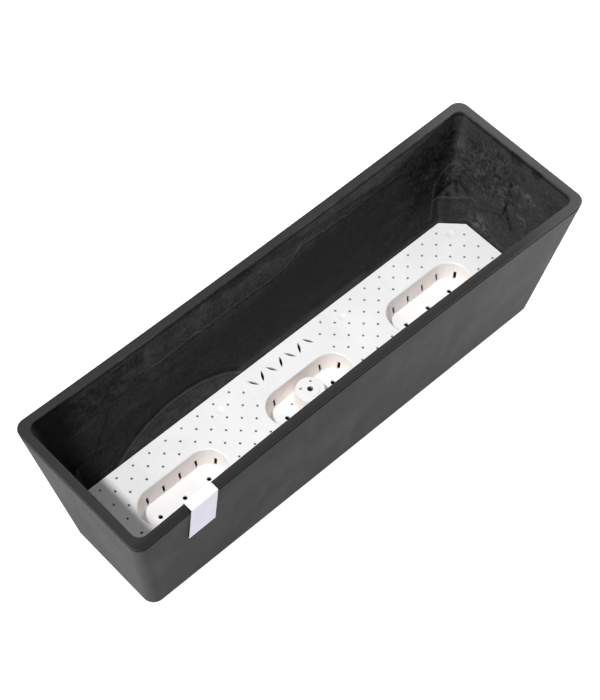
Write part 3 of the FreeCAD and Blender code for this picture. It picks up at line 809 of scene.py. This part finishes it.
def composite_inside():
    """The same composite inside: swirls of the pour, rough and smooth patches, each wall's own marks, and
    painted shade towards the left end and in a strip under the rim.
    """
    t = Tree("anthracite_inside", 0.75, IOR=1.2, Specular_IOR_Level=0.3)
    warp = t.stretch((0.35, 0.35, 1.6))
    streaks = t.noise(26, 6, 0.62, 2.2, warp)
    swirls = t.noise(14, 5, 0.6, 3.0)
    lines = t.math("ABSOLUTE", t.math("SUBTRACT", t.noise(9, 4, 0.5, 2.5, warp), 0.5))
    lines = t.span(lines, 0.0, 0.02, 1.0, 0.0)
    fine = t.noise(260, 5, 0.7, 0.8)
    flecks = t.span(t.noise(170, 4, 0.7, 1.2), 0.55, 0.68)
    ends = t.span(t.math("ABSOLUTE", t.x), 236, 250)
    middle = t.window(t.x, -60, 150, 60)
    calm = t.math("SUBTRACT", 1.0, t.product(middle, t.window(t.up, 14, 86, 14), 0.62))
    rough = t.span(t.noise(130, 5, 0.72, 1.2), 0.46, 0.64)
    rear_tone, rear_height = rear_wall_tones(t, rough)
    right_tone, right_height = right_wall_tones(t, rough)
    post_tone, post_height = post_tones(t)
    mottle = t.total(t.product(t.math("SUBTRACT", streaks, 0.5), 1.5),
                     t.product(t.math("SUBTRACT", swirls, 0.5), 1.5),
                     t.product(t.math("SUBTRACT", fine, 0.5), 2.4), t.product(lines, 0.25),
                     t.product(flecks, 0.35),
                     t.product(ends, t.math("SUBTRACT", rough, 0.4), 0.3))
    tone = t.total(1.0, t.product(mottle, calm), rear_tone, right_tone, post_tone)
    # Painted shade in a strip under the rim's inner edge.
    under_rim = t.window(t.up, 129.6, 132.8, 0.5)
    # Painted shadow: the inside darkens towards the left end, where the left wall shades it.
    left_shade = t.span(t.x, -242, -200, LEFT_END_SHADOW_LEAST, 1.0)
    rim_shade = t.math("SUBTRACT", 1.0, t.product(under_rim, UNDER_RIM_SHADE))
    tone = t.product(t.math("MAXIMUM", tone, 0.25), left_shade, rim_shade)
    level = t.product(tone, INSIDE_LEVEL)
    roughness = t.span(t.total(streaks, swirls), 0.7, 1.3, 0.66, 0.84)
    normal = t.bump(t.noise(700, 3, 0.6), 0.2, 0.0004)
    normal = t.bump(t.product(fine, calm), 0.4, 0.0012, normal)
    normal = t.bump(t.product(t.total(streaks, swirls), calm), 0.35, 0.003, normal)
    normal = t.bump(t.total(rear_height, right_height, post_height), 0.6, 0.0008, normal)
    return t.finish(t.tinted(level, 0.004), roughness, normal)


def white_plastic(name):
    """Glossy white moulding: faint flow clouds, a painted warm shade on steep faces, fine mould texture."""
    t = Tree(name, 0.3, Coat_Weight=0.12, Coat_Roughness=0.2)
    clouds = t.noise(22, 4, 0.55, 0.8)
    specks = t.noise(420, 2, 0.5)
    color = t.ramp(clouds, [(0.35, (0.86, 0.86, 0.86)), (0.65, (0.90, 0.90, 0.90))])
    # Painted shade: steep faces, such as the wells' walls, get a warmer, slightly darker colour.
    color = t.mix(t.math("MULTIPLY", t.steepness(), 0.8), color, (0.92, 0.83, 0.79))
    roughness = t.span(clouds, 0.3, 0.7, 0.26, 0.36)
    normal = t.bump(specks, 0.04, 0.0003)
    normal = t.bump(clouds, 0.05, 0.001, normal)
    return t.finish(color, roughness, normal)


def rubber():
    """Black moulded rubber with a dusty bloom."""
    t = Tree("black_rubber", 0.7)
    bloom = t.noise(90, 5, 0.6, 0.5)
    color = t.ramp(bloom, [(0.35, grey(0.012)), (0.7, grey(0.03))])
    return t.finish(color, t.span(bloom, 0.3, 0.7, 0.6, 0.85), t.bump(t.noise(1500, 2), 0.2, 0.0002))


def label_card():
    """Coated card: very faint fibres, with a cool tint, and painted shade on its steep legs."""
    t = Tree("label_card", 0.45)
    fibres = t.noise(500, 4, 0.6, 0.5, t.stretch((1, 1, 0.3)))
    clouds = t.noise(60, 3)
    top = t.ramp(clouds, [(0.35, (0.75, 0.74, 0.78)), (0.65, (0.79, 0.78, 0.81))])
    # Painted shade: the steep legs get a darker copy of the card's colour, the level top the paler one.
    color = t.mix(t.steepness(), top, (0.41, 0.395, 0.47))
    return t.finish(color, t.span(clouds, 0.3, 0.7, 0.38, 0.5), t.bump(fibres, 0.08, 0.0002))


def floor_paper():
    """Plain pale studio floor, lit from below as a light table is."""
    t = Tree("studio_floor", 0.9, Emission_Strength=FLOOR_GLOW, Specular_IOR_Level=0.0)
    t.shader.inputs["Emission Color"].default_value = (1, 1, 1, 1)
    return t.finish(t.ramp(t.noise(2, 2), [(0.3, grey(0.30)), (0.7, grey(0.32))]))


def paint(node, material):
    """Gives a carried-over CAD node one new material."""
    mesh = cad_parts[node].data
    mesh.materials.clear()
    mesh.materials.append(material)


# ---------------------------------------------------------------- stage, light and camera

def make_floor():
    mesh = bpy.data.meshes.new("studio_floor")
    size = 6.0
    corners = [(-size, -size, 0), (size, -size, 0), (size, size, 0), (-size, size, 0)]
    mesh.from_pydata(corners, [], [(0, 1, 2, 3)])
    mesh.materials.append(floor_paper())
    new_object("studio_floor", mesh)


def add_light(name, kind, place, target, energy):
    data = bpy.data.lights.new(name, kind)
    data.energy = energy
    light = bpy.data.objects.new(name, data)
    light.location = place
    light.rotation_mode = "QUATERNION"
    light.rotation_quaternion = (Vector(target) - Vector(place)).to_track_quat("-Z", "Y")
    bpy.context.scene.collection.objects.link(light)
    return data


def soft_light(name, place, target, width, height, power):
    data = add_light(name, "AREA", place, target, power)
    data.shape = "RECTANGLE"
    data.size, data.size_y = width, height


def make_lights():
    world = bpy.data.worlds.new("studio")
    world.use_nodes = True
    background = world.node_tree.nodes["Background"]
    background.inputs["Color"].default_value = (1, 1, 1, 1)
    background.inputs["Strength"].default_value = SKY_STRENGTH
    bpy.context.scene.world = world
    elevation = math.radians(SUN_ELEVATION)
    place = (-2 * math.cos(elevation), 0, 2 * math.sin(elevation))
    sun = add_light("key", "SUN", place, (0, 0, 0), SUN_STRENGTH)
    sun.angle = math.radians(SUN_ANGLE)
    for light in SOFT_LIGHTS:
        soft_light(*light)


def make_camera():
    data = bpy.data.cameras.new("camera")
    data.lens = CAMERA_LENS
    data.sensor_width = 36.0
    data.clip_end = 20.0
    camera = bpy.data.objects.new("camera", data)
    camera.location = CAMERA_PLACE
    camera.rotation_mode = "QUATERNION"
    aim = (Vector(CAMERA_TARGET) - Vector(CAMERA_PLACE)).to_track_quat("-Z", "Y")
    camera.rotation_quaternion = aim @ Quaternion((0, 0, 1), math.radians(CAMERA_ROLL))
    bpy.context.scene.collection.objects.link(camera)
    bpy.context.scene.camera = camera


make_camera()
make_lights()
make_floor()

trough = make_trough()
trough.data.materials.append(composite_outside())
trough.data.materials.append(composite_inside())
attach(trough, "trough_body")
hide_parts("trough")

label = make_label()
label.data.materials.append(label_card())
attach(label, "trough_body")
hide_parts("rim_label")

paint("reservoir_insert", white_plastic("white_insert"))
paint("overflow_dial", white_plastic("white_dial"))
paint("tower_seal", rubber())
paint("drain_plug", rubber())

bpy.context.scene.view_settings.view_transform = "Standard"
